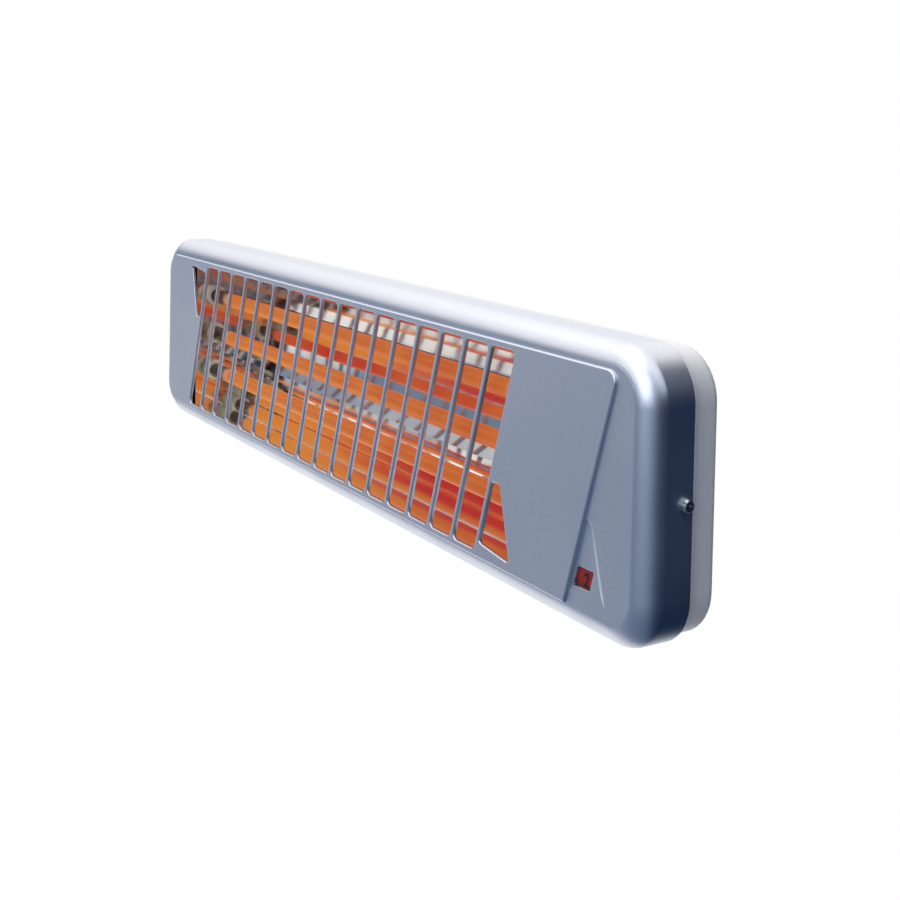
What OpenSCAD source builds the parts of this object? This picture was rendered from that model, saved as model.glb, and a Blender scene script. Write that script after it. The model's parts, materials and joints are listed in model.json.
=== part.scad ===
// Electric bar heater for a wall: three quartz tubes in a polished reflector behind a slotted front cover,
// hung on a wall bracket that lets the whole heater tilt forward.
// The wall is the plane y = 0, the front faces -Y, and the hole pattern of the wall bracket is at the origin.

/* [Housing] */
// Width of the front cover
heater_w = 590; // [520:5:680]
// Height of the front cover
heater_h = 137; // [128:1:160]
// Depth of the cover, from the raised panel to the parting line
cover_d = 27; // [25:0.5:34]
// Depth of the rear housing behind the parting line
housing_d = 17; // [15:0.5:26]
// Corner radius of the cover seen from the front
corner_r = 26; // [18:1:34]
// Radius of the cover's front edge
cover_edge_r = 11; // [5:0.5:12]
// Wall of the cover
cover_wall = 2; // [1.5:0.1:2.6]
// Wall of the rear housing
housing_wall = 1.2; // [0.8:0.1:1.8]
// Radius of the housing's rear edge
housing_edge_r = 4; // [2.5:0.5:6]
// How far the housing's rim reaches into the cover
lap_d = 9; // [7:0.5:12]
// Gap between the cover's wall and the rim inside it
lap_gap = 0.3; // [0.2:0.05:0.6]
// Thickness of the bead that shows at the parting line
bead_t = 1.2; // [0.8:0.1:2]
// How far the bead stays inside the cover's outline
bead_inset = 0.4; // [0.2:0.1:1]

/* [Front panel] */
// Height of the raised panel above the cover's face
panel_raise = 1.5; // [0.8:0.1:2]
// Distance from the cover's outline to the raised panel
panel_margin = 11.5; // [11.2:0.1:13.5]
// Distance from the right end of the cover to the panel's slanted end, at mid height
panel_end_gap = 38.5; // [30:0.5:60]
// Corner radius of the panel's upper right corner
panel_corner_r = 6; // [3:0.5:10]
// Distance between two slots
slot_pitch = 23.7; // [20:0.1:28]
// Width of the bar between two slots
bar_w = 3.2; // [2.6:0.1:6]
// Slant of the slots against the vertical
slot_slant = 17.5; // [8:0.5:22]
// Distance from the cover's outline to the ends of the slots
slot_end_gap = 15; // [14:0.5:22]
// Corner radius of a slot
slot_corner_r = 3; // [1.5:0.1:4]
// Distance from the left end of the cover to the foot of the first slot
grille_left_gap = 57; // [50:1:80]
// Distance from the right end of the cover to the head of the last slot
grille_right_gap = 100; // [96:1:120]
// Height of the three-cornered opening beside the last slot
gusset_h = 37; // [28:1:44]
// Width of that opening at its tip
gusset_tip_w = 7; // [5.5:0.5:9]
// Width of that opening at its base
gusset_base_w = 28; // [20:0.5:28]

/* [Indicator] */
// Width of the indicator window
window_w = 11.7; // [8:0.1:12.5]
// Height of the indicator window
window_h = 9.4; // [6:0.1:10]
// Distance from the right end of the cover to the window's centre
window_end_gap = 44.1; // [42:0.1:47]
// Height of the window's centre above the cover's lower edge
window_rise = 26.3; // [25:0.1:30]
// Depth of the recess round the window, at its head
recess_d = 0.8; // [0.4:0.1:1]
// Height of the recess above the window's centre
recess_head = 28; // [18:0.5:32]
// Width of the recess at its top
recess_tip_w = 5; // [4:0.5:8]
// Slant of the recess's right side against the vertical
recess_slant = 16; // [8:0.5:20]
// Height of the recess's foot above the heater's underside
recess_foot = 17; // [14:0.5:18]
// Radius of the number drum
drum_r = 11; // [9:0.5:12]
// Width of the number drum
drum_w = 13; // [11:0.5:13.5]
// Radius of the spindle that carries the drum
spindle_r = 3; // [2:0.25:3.5]

/* [Tubes] */
// Outer radius of a quartz tube
tube_r = 5; // [4.5:0.25:6]
// Wall of a quartz tube
tube_wall = 1; // [0.7:0.1:1.4]
// Distance between two tubes
tube_pitch = 28.5; // [24:0.5:31]
// Distance of the tubes behind the raised panel
tube_depth = 18; // [16:0.5:20]
// Radius of the heating coil
coil_r = 3.2; // [2:0.1:3.4]
// Unheated length at each end of a tube
cold_end = 38; // [20:1:60]
// Distance from the left end of the cover to the left end plate
left_bay = 55; // [48:1:62]
// Distance from the right end of the cover to the right end plate
right_bay = 83; // [81:1:92]
// Outer radius of a ceramic cap where it shows
cap_r = 7.6; // [7.2:0.1:9]
// How far a ceramic cap reaches inside the end plate
cap_reach = 10; // [6:0.5:14]

/* [Reflector] */
// Thickness of the reflector sheet
reflector_t = 0.6; // [0.4:0.1:1]
// Distance from the tubes' axis to the bottom of the outer troughs
trough_depth = 21.2; // [19:0.1:21.2]
// How far the flat middle stands in front of that bottom
middle_rise = 0.9; // [0.5:0.1:2]
// Width of the flat middle
middle_w = 20.4; // [16:0.2:24]
// How far the two ridges stand in front of the flat middle
ridge_h = 4.4; // [2:0.1:7]
// Distance between the two ridges
ridge_gap = 40; // [34:0.5:44]
// Height over the bends of the outer walls
bend_span = 88.8; // [84:0.2:98]
// How far those bends stand in front of the outer troughs' bottom
bend_depth = 12.5; // [10:0.5:18]
// Height over the folds where the lips of the outer walls begin
fold_span = 103.4; // [99:0.2:107]
// How far the lips reach in front of their folds
lip_depth = 10; // [6:0.5:14]
// Height of the reflector's mouth
mouth_h = 112; // [108:0.2:116]
// Thickness of the end plates
plate_t = 1; // [0.8:0.1:1.5]

/* [Wall bracket] */
// Distance from the wall to the back of the housing
wall_gap = 40; // [38:0.5:60]
// Width over the bracket's arms
bracket_w = 140; // [110:2:200]
// Height of the bracket's wall plate
bracket_h = 50; // [40:1:60]
// Thickness of the bracket's sheet
bracket_t = 2; // [1.5:0.1:2.5]
// Distance from the wall to the tilt axis
pivot_y = 22; // [20:0.5:28]
// Radius of the rounded end of an arm
arm_end_r = 11; // [9:0.5:13]
// Radius of the pivot bolt
pivot_r = 2.95; // [2.45:0.05:3.95]
// Radial clearance of everything that turns on a bolt or spindle
turn_gap = 0.05; // [0.03:0.01:0.1]
// Distance between the two wall screws
screw_spacing = 90; // [60:2:110]
// Half width of a wall screw slot
screw_slot_r = 3.5; // [2.5:0.25:4.5]
// Length of a wall screw slot
screw_slot_l = 12; // [10:0.5:16]

/* [Inlets] */
// Radius of the hole for the mains cable
cable_r = 4.2; // [3.5:0.1:5]
// Radius of the hole for the pull cord
pull_cord_r = 1.6; // [1:0.1:2.2]

/* [Hidden] */
$fn = 64;

// How far a cutting shape runs past the face that it cuts
over = 1;
// Play between two flat faces of pieces that turn past each other
face_gap = 0.1;
// Gap between fixed pieces that sit side by side
seat_gap = 0.3;
// Radial clearance of a screw in a plain hole
screw_gap = 0.15;

// Planes, from the wall to the front
back_y = -wall_gap;
part_y = back_y - housing_d;
front_y = part_y - cover_d;
face_y = front_y + panel_raise;
cover_in_y = face_y + cover_wall;
back_in_y = back_y - housing_wall;
tube_y = front_y + tube_depth;
side_x = heater_w / 2;
side_z = heater_h / 2;

// The slots and the panel
slot_h = heater_h - 2 * slot_end_gap;
slant = tan(slot_slant);
slot_w = slot_pitch - bar_w;
grille_l = heater_w - grille_left_gap - grille_right_gap;
slot_count = floor((grille_l - slot_h * slant + bar_w + over) / slot_pitch);
grille_x = (grille_left_gap - grille_right_gap) / 2;
panel_r = corner_r - panel_margin;
panel_z = side_z - panel_margin;
panel_end_x = side_x - panel_end_gap;
panel_foot_r = 1;
gusset_foot = 1.6;
gusset_lift = 3.1;
gusset_r = 1.8;

// The switch and its window
window_x = side_x - window_end_gap;
window_z = window_rise - side_z;
window_corner_r = 0.6;
recess_corner_r = 2.5;
recess_fine_r = 0.3;
recess_out = 0.1;
lens_rim = 1.5;
lens_t = 0.8;
drum_gap = 0.5;
drum_y = cover_in_y + lens_t + drum_gap + drum_r;
drum_wall = 1.5;
drum_web = 2;
arm_t = 1.2;
spring_w = 4.5;
spring_wall = 1.5;
lever_w = 4;
lever_room = 2.5;
lever_x1 = window_x - drum_w / 2 - lever_room;
lever_x0 = lever_x1 - lever_w;
spring_x0 = lever_x0 - seat_gap - spring_w;
arm_x0 = spring_x0 - seat_gap - arm_t;
arm_x1 = window_x + drum_w / 2 + 1;
switch_w = 22;
switch_h = 23;
switch_d = 24;
spindle_in = 12;
spindle_out = 1.5;
lever_reach = 18;
lever_eye_r = 3.5;
lever_hub_r = spindle_r + 3;
cord_x = lever_x0 + lever_w / 2;
bush_neck_r = pull_cord_r + 1.4;
bush_lip = 1.5;
eye_hole_r = pull_cord_r - 0.35;
eye_y = drum_y + lever_reach;

// The rear wall's fittings
foot_w = 12;
foot_z = 40;
foot_h = 14;
rear_screw_r = 1.45;
rear_screw_in = 3.2;
rear_head_r = 3.1;
rear_head_h = 1.8;
block_x = side_x - 43;
block_z = 35;
block_w = 40;
block_h = 18;
block_d = 16;
block_wire_y = back_in_y - 9;
block_foot_z = block_z - block_h / 2;
pole_pitch = 13;
pole_rise = 5;
pole_screw_r = 2.2;
well_d = 3;
inlet_x = side_x - 45;
inlet_z = -8;
clamp_z = 10;
clamp_w = 28;
clamp_h = 7;
clamp_d = 8;
clamp_screw_x = clamp_w / 2 - 4;
grommet_neck_r = cable_r + 1.8;
grommet_lip = 3;
grommet_rim = 2;
earth_x = side_x - 15;
earth_z = 10;
earth_r = 2;
earth_head_r = 4;
earth_head_h = 5.5;
wire_r = 1.2;
bend_r = 3;
wire_y = back_in_y - wire_r - seat_gap;
bracket_screw_x = [arm_x0 + 6, arm_x1 - 6];
bracket_screw_z = window_z + 9;

// The side screws that hold the cover
side_screw_y = part_y - 3.8;
side_screw_r = 1.95;
side_head_r = 3.4;
side_head_h = 2.4;
side_screw_tip = 0.6;
clip_t = 2.4;
clip_w = 9;
clip_h = 12;

// The tubes
plate_left_x = -side_x + left_bay;
plate_right_x = side_x - right_bay;
tube_inset = 2;
coil_tail_r = 0.9;
pin_r = 1.5;
pin_out = 13;
cap_gap = 0.1;
cap_flange_r = cap_r + 1.9;
cap_flange_t = 2;
cap_tail_r = 5;
cap_tail_l = 6;

// The tilt bracket
arm_in_x = bracket_w / 2 - bracket_t;
washer_t = 1;
ear_t = 1.8;
ear_x = arm_in_x - washer_t;
ear_foot_w = 18;
ear_h = 40;
ear_end_r = arm_end_r - 1;
rivet_z = 13;
rivet_r = 2;
rivet_head_r = 3.6;
rivet_head_h = 1.2;
pivot_hole_r = pivot_r + turn_gap;

function unit(v) = v / norm(v);

// Points of the arc that rounds the corner p between the points a and b
function corner_arc(a, p, b, r, n) =
  let (
    u = unit(a - p),
    v = unit(b - p),
    half = acos(u * v) / 2,
    c = p + unit(u + v) * r / sin(half),
    s = p + u * r / tan(half) - c,
    e = p + v * r / tan(half) - c,
    turn = 180 - 2 * half
  )
  [for (i = [0:n]) c + (s * sin(turn * (1 - i / n)) + e * sin(turn * i / n)) / sin(turn)];

// Outline of a polygon with one radius for each of its corners
function rounded(p, radii, n = 6) =
  let (m = len(p))
  [for (i = [0:m - 1]) each corner_arc(p[(i + m - 1) % m], p[i], p[(i + 1) % m], radii[i], n)];

// Outline of a bent sheet of thickness t whose inner side follows the points p
function sheet(p, t) =
  let (
    m = len(p),
    dir = [for (i = [0:m - 2]) unit(p[i + 1] - p[i])],
    side = [for (d = dir) [-d[1], d[0]]],
    rear = [for (i = [0:m - 1])
      let (a = side[max(i - 1, 0)], b = side[min(i, m - 2)])
      p[i] + (a + b) * t / (1 + a * b)]
  )
  concat(p, [for (i = [m - 1:-1:0]) rear[i]]);

// The ring of points before the path's point i, slid along the path p to the plane that halves its bend there
function slid(ring, p, i) =
  let (
    d = unit(p[i] - p[i - 1]),
    n = d + (i < len(p) - 1 ? unit(p[i + 1] - p[i]) : d)
  )
  [for (q = ring) q + d * ((p[i] - q) * n) / (d * n)];

// One ring for each point of the path p
function rings(ring, p, i = 1) =
  i == len(p) ? [ring] : concat([ring], rings(slid(ring, p, i), p, i + 1));

// Children drawn in the x-z plane and standing forward from the plane at depth y
module forward(y) {
  translate([0, y, 0]) rotate([90, 0, 0]) children();
}

// Children drawn in the y-z plane and standing to the right from x
module rightward(x) {
  translate([x, 0, 0]) rotate([90, 0, 90]) children();
}

// A pair of pieces, one to the left and one to the right
module both_sides() {
  children();
  mirror([1, 0, 0]) children();
}

module edge_profile(l, d, e) {
  square([l, d - e]);
  square([l - e, d]);
  translate([l - e, d - e]) circle(r = e);
}

// Block with corner radius r and edge radius e, standing on z = 0
module soft_block(w, h, r, d, e) {
  for (i = [0:3]) {
    sx = [1, -1, -1, 1][i];
    sy = [1, 1, -1, -1][i];
    translate([sx * (w / 2 - r), sy * (h / 2 - r), 0])
      rotate([0, 0, 90 * i]) rotate_extrude(angle = 90) edge_profile(r, d, e);
  }
  for (turn = [0, 180]) {
    rotate([0, 0, turn]) translate([w / 2 - r, h / 2 - r, 0])
      rotate([90, 0, 0]) linear_extrude(h - 2 * r) edge_profile(r, d, e);
    rotate([0, 0, turn]) translate([r - w / 2, 0, 0])
      rotate([90, 0, 90]) linear_extrude(w - 2 * r) edge_profile(h / 2, d, e);
  }
}

// Round wire of radius r through the points p, with a bend of radius bend_r at each corner
module wire(p, r) {
  sides = 8;
  path = [
    p[0],
    for (i = [1:1:len(p) - 2]) each corner_arc(p[i - 1], p[i], p[i + 1], bend_r, 3),
    p[len(p) - 1]
  ];
  d = unit(path[1] - path[0]);
  x = unit(cross(d, abs(d[2]) < 0.9 ? [0, 0, 1] : [1, 0, 0]));
  y = cross(d, x);
  ring = [for (k = [0:sides - 1]) path[0] + r * (x * cos(360 * k / sides) + y * sin(360 * k / sides))];
  swept = rings(ring, path);
  last = (len(swept) - 1) * sides;
  polyhedron(
    points = [for (q = swept) each q],
    faces = concat(
      [[for (k = [0:sides - 1]) k]],
      [[for (k = [sides - 1:-1:0]) last + k]],
      [for (i = [0:sides:last - 1], k = [0:sides - 1])
        [i + k, i + sides + k, i + sides + (k + 1) % sides, i + (k + 1) % sides]]));
}

// Screw with a pan head whose underside is at z = 0 and whose shank runs down
module pan_screw(r, l, head_r, head_h) {
  difference() {
    union() {
      translate([0, 0, -l]) cylinder(r = r, h = l);
      cylinder(r = head_r, h = head_h * 0.6);
      translate([0, 0, head_h * 0.6]) cylinder(r1 = head_r, r2 = head_r * 0.72, h = head_h * 0.4);
    }
    for (turn = [0, 90])
      rotate([0, 0, turn]) translate([-head_r * 0.55, -0.4, head_h * 0.45])
        cube([head_r * 1.1, 0.8, head_h]);
  }
}

// Wall bracket

module arm_outline(end_r, foot_y, foot_h, hole_r) {
  difference() {
    union() {
      polygon([[foot_y, -foot_h / 2], [foot_y, foot_h / 2], [-pivot_y, end_r], [-pivot_y, -end_r]]);
      translate([-pivot_y, 0]) circle(r = end_r);
    }
    translate([-pivot_y, 0]) circle(r = hole_r);
  }
}

module wall_bracket() {
  color("gainsboro") {
    difference() {
      translate([-bracket_w / 2, -bracket_t, -bracket_h / 2]) cube([bracket_w, bracket_t, bracket_h]);
      for (s = [-1, 1]) translate([s * screw_spacing / 2, over, 0]) rotate([90, 0, 0]) {
        half = screw_slot_l / 2 - screw_slot_r;
        translate([-half, 0, 0]) cylinder(r = screw_slot_r, h = bracket_t + 2 * over);
        translate([half, 0, 0]) cylinder(r = screw_slot_r, h = bracket_t + 2 * over);
        translate([-half, -screw_slot_r, 0]) cube([2 * half, 2 * screw_slot_r, bracket_t + 2 * over]);
      }
    }
    both_sides() rightward(arm_in_x) linear_extrude(bracket_t)
      arm_outline(arm_end_r, -bracket_t, bracket_h, pivot_hole_r);
  }
}

pivot_head_r = pivot_r * 1.9;
pivot_head_h = 4;
nut_h = 5;
nut_collar_h = 1.5;
nut_x = ear_x - ear_t - face_gap;

module pivot_bolts() {
  color("silver") both_sides() rightward(0) translate([-pivot_y, 0, 0]) {
    translate([0, 0, bracket_w / 2]) cylinder(r = pivot_head_r, h = pivot_head_h, $fn = 6);
    translate([0, 0, nut_x - nut_h - nut_collar_h - over]) cylinder(
      r = pivot_r, h = bracket_w / 2 - nut_x + nut_h + nut_collar_h + over);
  }
}

module pivot_nuts() {
  color("silver") both_sides() rightward(0) translate([-pivot_y, 0, nut_x - nut_h]) difference() {
    union() {
      cylinder(r = pivot_head_r, h = nut_h, $fn = 6);
      translate([0, 0, -nut_collar_h]) cylinder(r = pivot_head_r * 0.8, h = nut_collar_h);
    }
    translate([0, 0, -nut_collar_h - over]) cylinder(r = pivot_hole_r, h = nut_h + nut_collar_h + 2 * over);
  }
}

module friction_washers() {
  color("saddlebrown") both_sides() rightward(ear_x + face_gap) translate([-pivot_y, 0, 0])
    difference() {
      cylinder(r = ear_end_r - 1, h = washer_t - face_gap);
      translate([0, 0, -over]) cylinder(r = pivot_hole_r, h = washer_t + 2 * over);
    }
}

// Ears riveted to the back of the housing

module ear() {
  rightward(ear_x - ear_t) linear_extrude(ear_t) arm_outline(ear_end_r, back_y, ear_h, pivot_hole_r);
  difference() {
    translate([ear_x - ear_t - ear_foot_w, back_y, -ear_h / 2]) cube([ear_foot_w, ear_t, ear_h]);
    rivet_places() translate([0, 0, -ear_t - over]) cylinder(r = rivet_r, h = ear_t + 2 * over);
  }
}

module rivet_places() {
  for (s = [-1, 1]) translate([ear_x - ear_t - ear_foot_w / 2, back_y, s * rivet_z])
    rotate([90, 0, 0]) children();
}

module ear_left() {
  color("gainsboro") mirror([1, 0, 0]) ear();
}

module ear_right() {
  color("gainsboro") ear();
}

module ear_rivets() {
  color("silver") both_sides() rivet_places() {
    translate([0, 0, -ear_t]) cylinder(r = rivet_r, h = ear_t + housing_wall);
    translate([0, 0, -ear_t - rivet_head_h])
      cylinder(r1 = rivet_head_r * 0.7, r2 = rivet_head_r, h = rivet_head_h);
    translate([0, 0, housing_wall]) cylinder(r = rivet_head_r * 0.8, h = rivet_head_h);
  }
}

// Front cover

// Outline of the raised panel, drawn d inside its edge
module panel_outline(d) {
  z = panel_z - d;
  r = panel_r - d;
  x1 = panel_end_x - d / cos(slot_slant);
  polygon(rounded(
    [[-side_x + panel_margin + d, -z], [x1 - z * slant, -z],
     [x1 + z * slant, z], [-side_x + panel_margin + d, z]],
    [r, panel_foot_r, panel_corner_r, r], 10));
}

// One slot, centred on its middle
module slot_outline() {
  z = slot_h / 2;
  polygon(rounded(
    [[-slot_w / 2 - z * slant, -z], [slot_w / 2 - z * slant, -z],
     [slot_w / 2 + z * slant, z], [-slot_w / 2 + z * slant, z]],
    [for (i = [0:3]) slot_corner_r]));
}

// Three-cornered opening beside the last slot
module gusset_outline() {
  x0 = ((slot_count - 1) * slot_pitch + slot_w) / 2 + bar_w;
  z0 = -slot_h / 2 + gusset_foot;
  z1 = z0 + gusset_h;
  z2 = z0 + gusset_lift;
  polygon(rounded(
    [[x0 + z2 * slant, z2], [x0 + z0 * slant + gusset_base_w, z0],
     [x0 + z1 * slant + gusset_tip_w, z1], [x0 + z1 * slant, z1]],
    [gusset_r, gusset_r, gusset_r, gusset_r]));
}

// Outline of the indicator window, drawn d outside its edge
module window_outline(d) {
  z = window_h / 2 + d;
  x = window_w / 2 + d;
  polygon(rounded(
    [[-x - z * slant, -z], [x - z * slant, -z], [x + z * slant, z], [-x + z * slant, z]],
    [for (i = [0:3]) window_corner_r], 3));
}

// Outline of the recess round the window, from the panel's slanted end to a second slant
module recess_outline(z0, z1) {
  x1 = panel_end_x + z1 * slant + recess_tip_w;
  polygon(rounded(
    [[panel_end_x + z0 * slant - over, z0], [x1 + (z1 - z0) * tan(recess_slant), z0],
     [x1, z1], [panel_end_x + z1 * slant - over, z1]],
    [recess_fine_r, panel_foot_r, recess_corner_r, recess_fine_r], 5));
}

// The recess gets shallower towards its foot
module recess_cut() {
  z1 = window_z + recess_head;
  z0 = recess_foot - side_z;
  rise = (recess_d - recess_out) / (z1 - z0);
  multmatrix([[1, 0, 0, 0], [0, 1, rise, recess_out - z0 * rise], [0, 0, 1, 0]])
    forward(face_y) linear_extrude(3 * over) recess_outline(z0, z1);
}

module front_cover() {
  depth = part_y - face_y;
  color("lightsteelblue") difference() {
    union() {
      forward(part_y) soft_block(heater_w, heater_h, corner_r, depth, cover_edge_r);
      forward(face_y + cover_wall / 2) linear_extrude(panel_raise + cover_wall / 2) panel_outline(0);
    }
    forward(part_y + over) soft_block(
      heater_w - 2 * cover_wall, heater_h - 2 * cover_wall, corner_r - cover_wall,
      depth - cover_wall + over, cover_edge_r - cover_wall);
    forward(cover_in_y + over) linear_extrude(panel_raise + over) panel_outline(cover_wall / 2);
    forward(cover_in_y + over) for (i = [0:slot_count - 1])
      translate([grille_x + (i - (slot_count - 1) / 2) * slot_pitch, 0, 0])
        linear_extrude(cover_wall + panel_raise + 2 * over) slot_outline();
    forward(cover_in_y + over) translate([grille_x, 0, 0]) for (turn = [0, 180])
      rotate([0, 0, turn]) linear_extrude(cover_wall + panel_raise + 2 * over) gusset_outline();
    difference() {
      recess_cut();
      forward(face_y + recess_d + over) linear_extrude(recess_d + 3 * over) panel_outline(0);
    }
    forward(cover_in_y + over) translate([window_x, window_z, 0])
      linear_extrude(cover_wall + 2 * over) window_outline(0);
    both_sides() translate([side_x - cover_wall - over, side_screw_y, 0])
      rotate([0, 90, 0]) cylinder(r = side_screw_r + screw_gap, h = cover_wall + 2 * over);
  }
}

module window_lens() {
  color("crimson") translate([window_x, 0, window_z]) {
    forward(cover_in_y + lens_t) linear_extrude(lens_t) window_outline(lens_rim);
    forward(cover_in_y) linear_extrude(cover_wall - recess_d) window_outline(-lap_gap / 2);
  }
}

// Rear housing

module rear_housing() {
  rim = cover_wall + lap_gap;
  w = heater_w - 2 * rim;
  h = heater_h - 2 * rim;
  r = corner_r - rim;
  d = housing_d + lap_d;
  t = housing_wall;
  color("whitesmoke") difference() {
    union() {
      mirror([0, 1, 0]) forward(lap_d - part_y) soft_block(w, h, r, d, housing_edge_r);
      forward(part_y + bead_t) linear_extrude(bead_t)
        polygon(rounded(
          [for (c = [[-1, -1], [1, -1], [1, 1], [-1, 1]])
            [c[0] * (side_x - bead_inset), c[1] * (side_z - bead_inset)]],
          [for (i = [0:3]) corner_r - bead_inset], 16));
    }
    mirror([0, 1, 0]) forward(lap_d + over - part_y)
      soft_block(w - 2 * t, h - 2 * t, r - t, d - t + over, housing_edge_r - t);
    both_sides() translate([side_x - rim - t - over, side_screw_y, 0])
      rotate([0, 90, 0]) cylinder(r = side_screw_r + screw_gap, h = t + 2 * over);
    rear_screw_places() cylinder(r = rear_screw_r + screw_gap, h = 2 * t + 2 * over, center = true);
    both_sides() rivet_places() cylinder(r = rivet_r, h = 2 * t + 2 * over, center = true);
    translate([inlet_x, back_y, inlet_z]) rotate([90, 0, 0])
      cylinder(r = grommet_neck_r, h = 2 * t + 2 * over, center = true);
    for (s = [-1, 1]) translate([inlet_x + s * clamp_screw_x, back_y, clamp_z]) rotate([90, 0, 0])
      cylinder(r = rear_screw_r, h = 2 * t + 2 * over, center = true);
    translate([earth_x, back_y, earth_z]) rotate([90, 0, 0])
      cylinder(r = earth_r, h = 2 * t + 2 * over, center = true);
    translate([cord_x, eye_y, -side_z + rim - over]) cylinder(r = bush_neck_r, h = t + 2 * over);
  }
}

// Every screw whose head shows on the back of the housing
module rear_screw_places() {
  for (s = [-1, 1]) {
    translate([plate_left_x - plate_t - foot_w / 2, back_y, s * foot_z]) rotate([-90, 0, 0]) children();
    translate([plate_right_x + plate_t + foot_w / 2, back_y, s * foot_z]) rotate([-90, 0, 0]) children();
  }
  for (x = bracket_screw_x) translate([x, back_y, bracket_screw_z]) rotate([-90, 0, 0]) children();
  translate([block_x, back_y, block_z]) rotate([-90, 0, 0]) children();
}

module rear_screws() {
  color("silver") rear_screw_places()
    pan_screw(rear_screw_r, housing_wall + rear_screw_in, rear_head_r, rear_head_h);
}

module cover_screws() {
  l = cover_wall + lap_gap + housing_wall + clip_t + side_screw_tip;
  color("dimgray") both_sides() translate([side_x, side_screw_y, 0]) rotate([0, 90, 0])
    pan_screw(side_screw_r, l, side_head_r, side_head_h);
}

module clip_nuts() {
  x = side_x - cover_wall - lap_gap - housing_wall - clip_t;
  color("silver") both_sides() difference() {
    translate([x, side_screw_y - clip_w / 2, -clip_h / 2]) cube([clip_t, clip_w, clip_h]);
    translate([x - over, side_screw_y, 0]) rotate([0, 90, 0])
      cylinder(r = side_screw_r + turn_gap, h = clip_t + 2 * over);
  }
}

// Reflector and end plates

reflector_in_z = mouth_h / 2;
mouth_y = cover_in_y + 3;
trough_y = tube_y + trough_depth;
trough_flat = 1;
plate_margin = 1;

// Inner side of the reflector, from the lower lip to the upper one
function reflector_path() =
  let (
    middle_y = trough_y - middle_rise,
    half = [
      [middle_y, middle_w / 2], [middle_y - ridge_h, ridge_gap / 2],
      [trough_y, tube_pitch - trough_flat], [trough_y, tube_pitch],
      [trough_y - bend_depth, bend_span / 2], [mouth_y + lip_depth, fold_span / 2],
      [mouth_y, reflector_in_z]
    ]
  )
  concat([for (i = [len(half) - 1:-1:0]) [half[i][0], -half[i][1]]], half);

module reflector() {
  color("silver") rightward(plate_left_x) linear_extrude(plate_right_x - plate_left_x)
    polygon(sheet(reflector_path(), -reflector_t));
}

// End plate with its inner face at x = 0, standing towards the outside at +x
module end_plate() {
  z = reflector_in_z + plate_margin;
  y0 = mouth_y - plate_margin;
  y1 = trough_y + reflector_t;
  difference() {
    union() {
      linear_extrude(plate_t) polygon([[y0, -z], [y1, -z], [y1, z], [y0, z]]);
      for (s = [-1, 1]) {
        translate([y1, s * foot_z - foot_h / 2, 0]) cube([back_in_y - y1, foot_h, plate_t]);
        difference() {
          translate([back_in_y - plate_t, s * foot_z - foot_h / 2, 0])
            cube([plate_t, foot_h, foot_w + plate_t]);
          translate([back_in_y - plate_t - over, s * foot_z, plate_t + foot_w / 2]) rotate([0, 90, 0])
            cylinder(r = rear_screw_r, h = plate_t + 2 * over);
        }
      }
    }
    for (i = [-1:1]) translate([tube_y, i * tube_pitch, -over])
      cylinder(r = cap_r + cap_gap, h = plate_t + 2 * over);
  }
}

module end_plate_right() {
  color("silver") rightward(plate_right_x) end_plate();
}

module end_plate_left() {
  color("silver") mirror([1, 0, 0]) rightward(-plate_left_x) end_plate();
}

// Tubes, coils, caps and pins; i is -1 for the lower tube, 0 for the middle one and 1 for the upper one

module tube_axis(i, x) {
  rightward(x) translate([tube_y, i * tube_pitch, 0]) children();
}

module quartz_tube(i) {
  color("orangered", 0.8) tube_axis(i, plate_left_x + tube_inset) difference() {
    l = plate_right_x - plate_left_x - 2 * tube_inset;
    cylinder(r = tube_r, h = l);
    translate([0, 0, -over]) cylinder(r = tube_r - tube_wall, h = l + 2 * over);
  }
}

module heating_coil(i) {
  l = plate_right_x - plate_left_x;
  color("orange") tube_axis(i, plate_left_x) {
    translate([0, 0, cold_end]) cylinder(r = coil_r, h = l - 2 * cold_end);
    cylinder(r = coil_tail_r, h = l);
  }
}

module quartz_tube_top() quartz_tube(1);
module quartz_tube_middle() quartz_tube(0);
module quartz_tube_bottom() quartz_tube(-1);
module heating_coil_top() heating_coil(1);
module heating_coil_middle() heating_coil(0);
module heating_coil_bottom() heating_coil(-1);

// Ceramic cap on the tube's right end, with x = 0 at the inner face of the end plate
module ceramic_cap() {
  difference() {
    union() {
      translate([0, 0, -cap_reach]) cylinder(r = cap_r, h = cap_reach + plate_t);
      translate([0, 0, plate_t]) cylinder(r = cap_flange_r, h = cap_flange_t);
      translate([0, 0, plate_t + cap_flange_t]) cylinder(r = cap_tail_r, h = cap_tail_l);
    }
    translate([0, 0, -cap_reach - over])
      cylinder(r = tube_r + cap_gap, h = cap_reach + over - tube_inset);
    translate([0, 0, -tube_inset - over])
      cylinder(r = pin_r, h = tube_inset + plate_t + cap_flange_t + cap_tail_l + 2 * over);
  }
}

module ceramic_caps_right() {
  color("antiquewhite") for (i = [-1:1]) tube_axis(i, plate_right_x) ceramic_cap();
}

module ceramic_caps_left() {
  color("antiquewhite") mirror([1, 0, 0]) for (i = [-1:1]) tube_axis(i, -plate_left_x) ceramic_cap();
}

module tube_pin() {
  cylinder(r = pin_r, h = pin_out);
}

module tube_pins_right() {
  color("silver") for (i = [-1:1]) tube_axis(i, plate_right_x) tube_pin();
}

module tube_pins_left() {
  color("silver") mirror([1, 0, 0]) for (i = [-1:1]) tube_axis(i, -plate_left_x) tube_pin();
}

bus_w = 8;
bus_t = 0.8;
bus_x = plate_left_x - pin_out + 1;

module bus_bar() {
  color("goldenrod") difference() {
    translate([bus_x, tube_y - bus_w / 2, -tube_pitch - bus_w / 2])
      cube([bus_t, bus_w, 2 * tube_pitch + bus_w]);
    for (i = [-1:1]) tube_axis(i, bus_x - over) cylinder(r = pin_r, h = bus_t + 2 * over);
  }
}

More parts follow.
